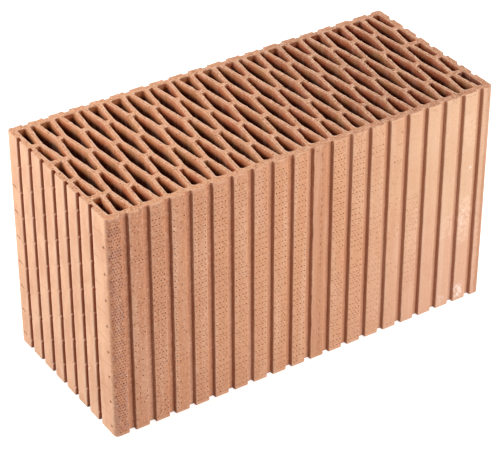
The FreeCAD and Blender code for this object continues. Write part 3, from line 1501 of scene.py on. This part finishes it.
def outer_skin(n):
    """Skin of all four outer faces, with painted highlights along its ridge edges, painted shade in its
    grooves and sandy grain.
    """
    hidden = n.math("MAXIMUM", n.rise(n.x, *right_end_x), n.rise(n.y, *back_y))
    skin = n.mix(hidden, front_skin(n), hidden_clay)
    end_skin = n.mix(n.rise(n.texture("clouds"), *cloud_range), end_pink_clay, end_cream_clay)
    skin = n.mix(n.mark("end"), skin, end_skin)
    # Painted highlight along the ridge edges
    edge_highlight = n.product(n.mark("edge"), n.rise(n.mark("end"), *edge_highlight_by_end))
    skin = n.mix(edge_highlight, skin, pale_grain_and_highlight)
    # Painted shade in the grooves
    skin = n.mix(n.product(n.mark("groove"), groove_shade_strength), skin, painted_groove_shade_clay)
    return n.tinted(skin, sandy_tints, n.product(n.rise(n.x, *sandy_x), n.mark("front")))


def cut_face(n):
    """Sandy clay where the wire cut the block."""
    return n.tinted(n.mix(n.rise(n.x, *cut_x), left_cut_clay, right_cut_clay), cut_tints)


def cell_wall(n, cut):
    """Walls of the cells: cut clay at the rim, then redder clay, and painted shade deeper in, where shade
    falls.
    """
    inside = n.mix(n.rise(n.x, *cell_x), left_cell_clay, right_cell_clay)
    inside = n.tinted(inside, cell_tints)
    from_bed = n.math("MINIMUM", n.z, n.math("SUBTRACT", height * metre_per_mm, n.z))
    inside = n.mix(n.rise(from_bed, *cut_lip_depth), cut, inside)
    broken = n.product(n.rise(n.x, *broken_cell_x), n.rise(n.y, *broken_cell_y))
    inside = n.mix(broken, inside, broken_cell_clay)
    # Painted shade: the walls darken towards the deep inside of each cell
    return n.mix(n.rise(from_bed, *cell_shade_depth), inside, painted_shade_clay)


def pore_shade_share(n):
    """Scattered pores in the bed and the cells: painted shade standing for their tiny holes."""
    pores = n.add("ShaderNodeTexVoronoi")
    n.join(n.place, pores.inputs["Vector"])
    pores.inputs["Scale"].default_value = pore_scale
    is_open = n.math("ADD", n.mark("cell"), n.mark("bed"))
    return n.product(n.rise(pores.outputs["Distance"], *pore_shade_range), is_open)


def clay_colour(n):
    """Colour of the whole block: skin, cut and cells, then what lies over all of them."""
    cut = cut_face(n)
    colour = n.mix(n.mark("bed"), outer_skin(n), cut)
    colour = n.mix(n.mark("cell"), colour, cell_wall(n, cut))
    # Pale crumbs along the rims, with a painted highlight on the rim edges and in the nicks of the left end
    crumbs = n.product(n.mark("rim"), n.rise(n.texture("specks"), *rim_crumb_and_highlight_range))
    colour = n.tinted(n.mix(crumbs, colour, crumb_and_highlight_clay), grain_tints)
    speckled = n.product(n.rise(n.texture("specks"), *speck_range), n.rise(n.mark("bed"), *speck_by_bed))
    colour = n.mix(speckled, colour, dark_grain)
    # Painted shade on the seen wall of each groove of the left end
    end_groove_shade = n.product(n.mark("groove"), n.mark("end"), n.math("SUBTRACT", 1.0, n.mark("bed")))
    colour = n.mix(end_groove_shade, colour, painted_end_groove_shade_clay)
    # Painted shade of the pores
    colour = n.mix(pore_shade_share(n), colour, painted_shade_clay)
    # Painted shade in the pricks, pits, pin holes and score lines
    return n.mix(n.rise(n.mark("painted_sunk_shade"), *sunk_shade_range), colour, painted_sunk_shade_clay)


def clay_relief(n):
    """Bump of the grain, the streaks and the grit, which is strongest on the cut."""
    grit = n.product(n.texture("grit"), n.rise(n.mark("bed"), *grit_by_bed))
    grain = n.product(n.texture("grain"), grain_relief)
    streaks = n.product(n.texture("streaks"), streak_relief)
    bump = n.add("ShaderNodeBump")
    bump.inputs["Strength"].default_value = bump_strength
    bump.inputs["Distance"].default_value = bump_distance
    n.join(n.math("ADD", n.math("ADD", grain, streaks), grit), bump.inputs["Height"])
    return bump.outputs["Normal"]


def new_material(name):
    """Empty node material."""
    material = bpy.data.materials.new(name)
    material.use_nodes = True
    material.node_tree.nodes.clear()
    return material


def clay_material():
    """Fired clay: pinkish skin, sandy cut faces, warmer walls in the cells."""
    material = new_material("fired_clay")
    n = ClayNodes(material.node_tree)
    shader = n.add("ShaderNodeBsdfPrincipled")
    polish = n.rise(n.texture("grain"), *polish_range)
    n.join(n.math("MAXIMUM", polish, n.product(n.mark("bed"), bed_roughness)), shader.inputs["Roughness"])
    shader.inputs["Specular IOR Level"].default_value = specular_level
    n.join(clay_colour(n), shader.inputs["Base Color"])
    n.join(clay_relief(n), shader.inputs["Normal"])
    output = n.add("ShaderNodeOutputMaterial")
    n.join(shader.outputs[0], output.inputs["Surface"])
    return material


def add_object(name, data):
    """New object in the scene."""
    item = bpy.data.objects.new(name, data)
    bpy.context.scene.collection.objects.link(item)
    return item


def add_block():
    """The detailed block, standing in for the CAD solid."""
    mesh = build_block_mesh()
    mesh.materials.append(clay_material())
    block = add_object("clay_block_fired", mesh)
    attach(block, "root")
    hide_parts("clay_block")


# Floor and surroundings, in metres: the floor glows white to the eye, less so near the block
floor_size = 6.0
floor_grey = (0.35, 0.35, 0.35)
seen_floor_grey = (0.55, 0.55, 0.55)
floor_glow = (0.4, 1.6, 0.75, 1.0)
floor_border = 0.002
world_strength = 0.06


def outside_share(n, place):
    """0 under the cells, where the floor lies in the dark, and 1 outside the block."""
    x, y, z = n.split(place)
    reach_x = (length / 2.0 - end_wall) * metre_per_mm
    reach_y = (width / 2.0 - long_wall) * metre_per_mm
    past_x = n.rise(n.math("ABSOLUTE", x), reach_x, reach_x + floor_border)
    past_y = n.rise(n.math("ABSOLUTE", y), reach_y, reach_y + floor_border)
    return n.math("MAXIMUM", past_x, past_y)


def floor_material():
    """White floor that keeps the block's shadow."""
    material = new_material("white_floor")
    n = Nodes(material.node_tree)
    diffuse = n.add("ShaderNodeBsdfDiffuse")
    glow = n.add("ShaderNodeEmission")
    seen = n.seen_directly()
    place = n.object_place()
    away = n.add("ShaderNodeVectorMath", operation="LENGTH")
    n.join(place, away.inputs[0])
    n.join(n.mix(seen, floor_grey, seen_floor_grey), diffuse.inputs["Color"])
    strength = n.product(seen, n.rise(away.outputs["Value"], *floor_glow), outside_share(n, place))
    n.join(strength, glow.inputs["Strength"])
    both = n.add("ShaderNodeAddShader")
    n.join(diffuse.outputs[0], both.inputs[0])
    n.join(glow.outputs[0], both.inputs[1])
    output = n.add("ShaderNodeOutputMaterial")
    n.join(both.outputs[0], output.inputs["Surface"])
    return material


def add_floor():
    """Plain square floor under the block."""
    corners = [(-1, -1), (1, -1), (1, 1), (-1, 1)]
    mesh = bpy.data.meshes.new("floor")
    mesh.from_pydata([(x * floor_size, y * floor_size, 0.0) for x, y in corners], [], [(0, 1, 2, 3)])
    mesh.materials.append(floor_material())
    floor = add_object("floor", mesh)


def add_world():
    """Even white surroundings, which carry only a little light."""
    world = bpy.data.worlds.new("studio")
    bpy.context.scene.world = world
    world.use_nodes = True
    n = Nodes(world.node_tree)
    background = world.node_tree.nodes["Background"]
    background.inputs["Color"].default_value = (1.0, 1.0, 1.0, 1.0)
    n.join(n.rise(n.seen_directly(), 0.0, 1.0, world_strength, 1.0), background.inputs["Strength"])


# Soft lights aimed at the block as (name, place, width, height, power), in metres and watts
block_middle = (0.0, 0.0, 0.12)
lamps = (
    ("left_light", (-1.70, 0.48, 1.02), 1.0, 1.0, 37.0),
    ("front_light", (0.30, -1.90, 0.22), 1.4, 0.36, 28.8),
    ("cell_light", (0.95, -1.35, 1.45), 0.6, 0.6, 18.0),
    ("bed_light", (0.70, 1.00, 1.50), 0.6, 0.6, 27.0),
)


def aim(item, way):
    """Turns a light or camera to look along a direction."""
    item.rotation_euler = way.to_track_quat("-Z", "Y").to_euler()


def add_lights():
    """Soft light from the left, from the front low and high, and from behind for the bed and the back."""
    for name, place, across, tall, power in lamps:
        light = bpy.data.lights.new(name, "AREA")
        light.shape = "RECTANGLE"
        light.size = across
        light.size_y = tall
        light.energy = power
        lamp = add_object(name, light)
        lamp.location = place
        aim(lamp, Vector(block_middle) - Vector(place))


# Camera fitted to the corners of the block in the photograph
camera_azimuth = math.radians(33.29)
camera_elevation = math.radians(33.88)
camera_distance = 2.083
camera_focal_pixels = 2081.0
camera_clip_end = 50.0
image_width_pixels = 500.0
sensor_width = 36.0
aim_right = -0.0039
aim_up = -0.0137


def add_camera():
    """Camera at the photograph's viewing angle."""
    back = Vector((
        -math.sin(camera_azimuth) * math.cos(camera_elevation),
        -math.cos(camera_azimuth) * math.cos(camera_elevation),
        math.sin(camera_elevation),
    ))
    right = (-back).cross(Vector((0.0, 0.0, 1.0))).normalized()
    up = right.cross(-back)
    target = Vector((0.0, 0.0, height * metre_per_mm / 2.0)) + right * aim_right + up * aim_up
    data = bpy.data.cameras.new("camera")
    data.sensor_width = sensor_width
    data.lens = camera_focal_pixels / image_width_pixels * sensor_width
    data.clip_end = camera_clip_end
    camera = add_object("camera", data)
    camera.location = target + back * camera_distance
    aim(camera, -back)
    bpy.context.scene.camera = camera


bpy.context.scene.view_settings.view_transform = "Standard"
add_block()
add_floor()
add_world()
add_lights()
add_camera()
